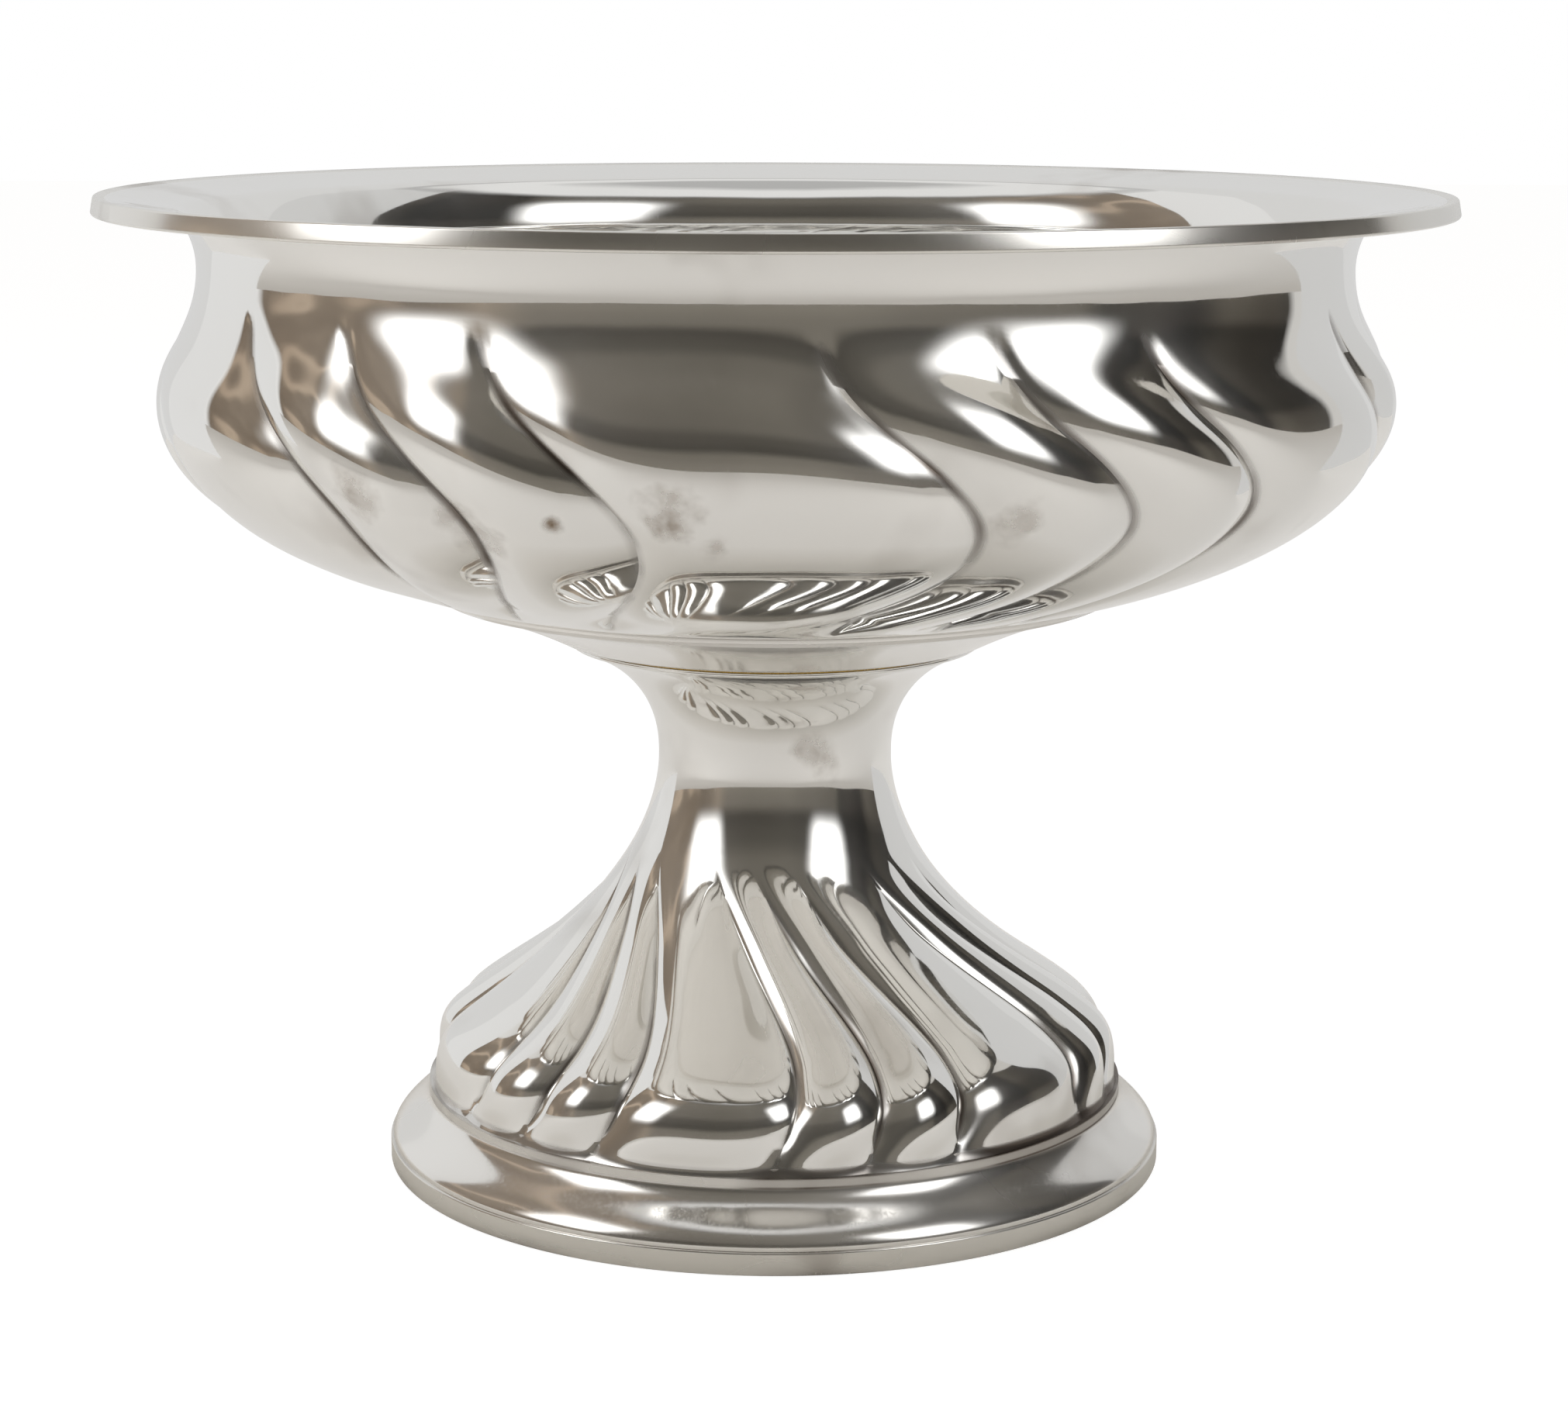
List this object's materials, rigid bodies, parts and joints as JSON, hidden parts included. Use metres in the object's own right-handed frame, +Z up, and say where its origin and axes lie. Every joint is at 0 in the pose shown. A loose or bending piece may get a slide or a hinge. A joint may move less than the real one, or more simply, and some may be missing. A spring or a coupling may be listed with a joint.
{
  "type": "footed compote bowl",
  "caption": "Wide shallow polished metal bowl with swirled lobes and a flat wired rim, carried by a collar on a swirl-lobed trumpet foot.",
  "frame": {"origin": "centre of the foot's flat underside, where the bowl stands on the table", "axes": "+Z up along the axis of the bowl and stem, -Y towards the viewer of the picture, +X to the viewer's right"},
  "size_m": [0.25, 0.25, 0.1844],
  "materials": {
    "polished_silver": "polished silver with fine scratches, dark tarnish in the creases",
    "worn_silver": "silver worn to a satin edge",
    "brass": "plain turned brass, hidden fixing",
    "steel": "plain steel, hidden fixing"
  },
  "bodies": {
    "root": {"bowl": "polished_silver", "rim_wire": "worn_silver", "collar": "polished_silver", "foot_dome": "polished_silver", "foot_moulding": "polished_silver", "foot_band": "worn_silver", "stud_plate": "brass", "stud": "steel", "stem_cap": "brass", "washer": "steel", "nut": "brass"}
  },
  "joints": []
}
